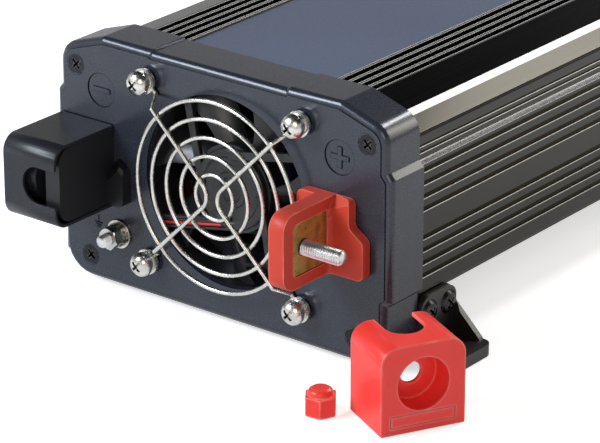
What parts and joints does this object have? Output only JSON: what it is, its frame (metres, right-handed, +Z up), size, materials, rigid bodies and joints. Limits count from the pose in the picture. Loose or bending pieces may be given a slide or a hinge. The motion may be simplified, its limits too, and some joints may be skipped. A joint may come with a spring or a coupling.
{
  "type": "power inverter",
  "caption": "Portable power inverter with a finned shell between end caps, a fan behind a wire guard, covered stud terminals, outlets and screw-down feet.",
  "frame": {"origin": "centre of the four foot holes, on the floor plane", "axes": "+X right when facing the DC end, +Y from the DC end to the AC end, +Z up"},
  "size_m": [0.2134, 0.3478, 0.0999],
  "materials": {
    "cap_plastic": "fine moulded texture, dark blue grey",
    "shell_metal": "black anodised extrusion",
    "plate_metal": "black coated sheet",
    "panel_film": "smooth blue grey film",
    "black_screw": "black oxide",
    "nickel": "bright nickel",
    "fan_plastic": "black glass-filled",
    "terminal_red": "moulded",
    "terminal_black": "moulded",
    "cover_red": "moulded",
    "cover_black": "moulded",
    "bus_metal": "yellow zinc",
    "zinc": "bright zinc",
    "dark_steel": "dark spring steel",
    "foot_plastic": "black moulded",
    "outlet_plastic": "black moulded",
    "rocker_plastic": "black moulded",
    "lens_green": "clear tinted",
    "lens_red": "clear tinted",
    "board": "solder mask",
    "fuse_red": "clear tinted",
    "can_sleeve": "printed-free sleeve",
    "ferrite": "ferrite and tape",
    "copper": "lacquered winding",
    "bar_metal": "plain",
    "device_black": "moulded"
  },
  "bodies": {
    "inverter": {"front_end_cap": "cap_plastic", "rear_end_cap": "cap_plastic", "finned_shell": "shell_metal", "bottom_plate": "plate_metal", "top_panel": "panel_film", "front_cap_screws": "black_screw", "rear_cap_screws": "black_screw", "bottom_plate_screws": "black_screw", "fan_frame": "fan_plastic", "fan_guard": "nickel", "fan_guard_screws": "nickel", "positive_terminal_base": "terminal_red", "positive_bus_bar": "bus_metal", "positive_stud": "zinc", "negative_terminal_base": "terminal_black", "negative_bus_bar": "bus_metal", "negative_stud": "zinc", "terminal_base_screws": "black_screw", "ground_stud": "zinc", "ground_flat_washer": "zinc", "ground_toothed_washer": "dark_steel", "ground_nut": "zinc", "front_right_foot": "foot_plastic", "front_left_foot": "foot_plastic", "rear_right_foot": "foot_plastic", "rear_left_foot": "foot_plastic", "foot_screws": "black_screw", "left_ac_outlet": "outlet_plastic", "right_ac_outlet": "outlet_plastic", "switch_body": "outlet_plastic", "power_light": "lens_green", "fault_light": "lens_red", "main_board": "board", "board_standoffs": "zinc", "board_screws": "zinc", "input_fuses": "fuse_red", "input_capacitors": "can_sleeve", "transformers": "ferrite", "bulk_capacitors": "can_sleeve", "output_choke": "copper", "left_heat_bar": "bar_metal", "right_heat_bar": "bar_metal", "power_transistors": "device_black"},
    "fan": {"fan_rotor": "fan_plastic"},
    "rocker": {"switch_rocker": "rocker_plastic"},
    "negative_cover": {"negative_terminal_cover": "cover_black"},
    "negative_nut": {"negative_cap_nut": "cover_black"},
    "positive_cover": {"positive_terminal_cover": "cover_red"},
    "positive_nut": {"positive_cap_nut": "cover_red"}
  },
  "joints": [
    {"name": "fan_spin", "type": "hinge", "parent": "inverter", "child": "fan", "pos_m": [0.0032, -0.14, 0.053], "axis": [0, 1, 0], "continuous": true},
    {"name": "rocker_tip", "type": "hinge", "parent": "inverter", "child": "rocker", "pos_m": [-0.03, 0.1476, 0.043], "axis": [-1, 0, 0], "range_deg": [0, 24]},
    {"name": "negative_cover_pull", "type": "slide", "parent": "inverter", "child": "negative_cover", "axis": [-1, 0, 0], "range_m": [0, 0.045]},
    {"name": "negative_nut_pull", "type": "slide", "parent": "negative_cover", "child": "negative_nut", "axis": [-1, 0, 0], "range_m": [0, 0.02]},
    {"name": "positive_cover_lift", "type": "slide", "parent": "inverter", "child": "positive_cover", "axis": [0, 0, 1], "range_m": [0, 0.1]},
    {"name": "positive_nut_lift", "type": "slide", "parent": "inverter", "child": "positive_nut", "axis": [0, 0, 1], "range_m": [0, 0.1]}
  ]
}
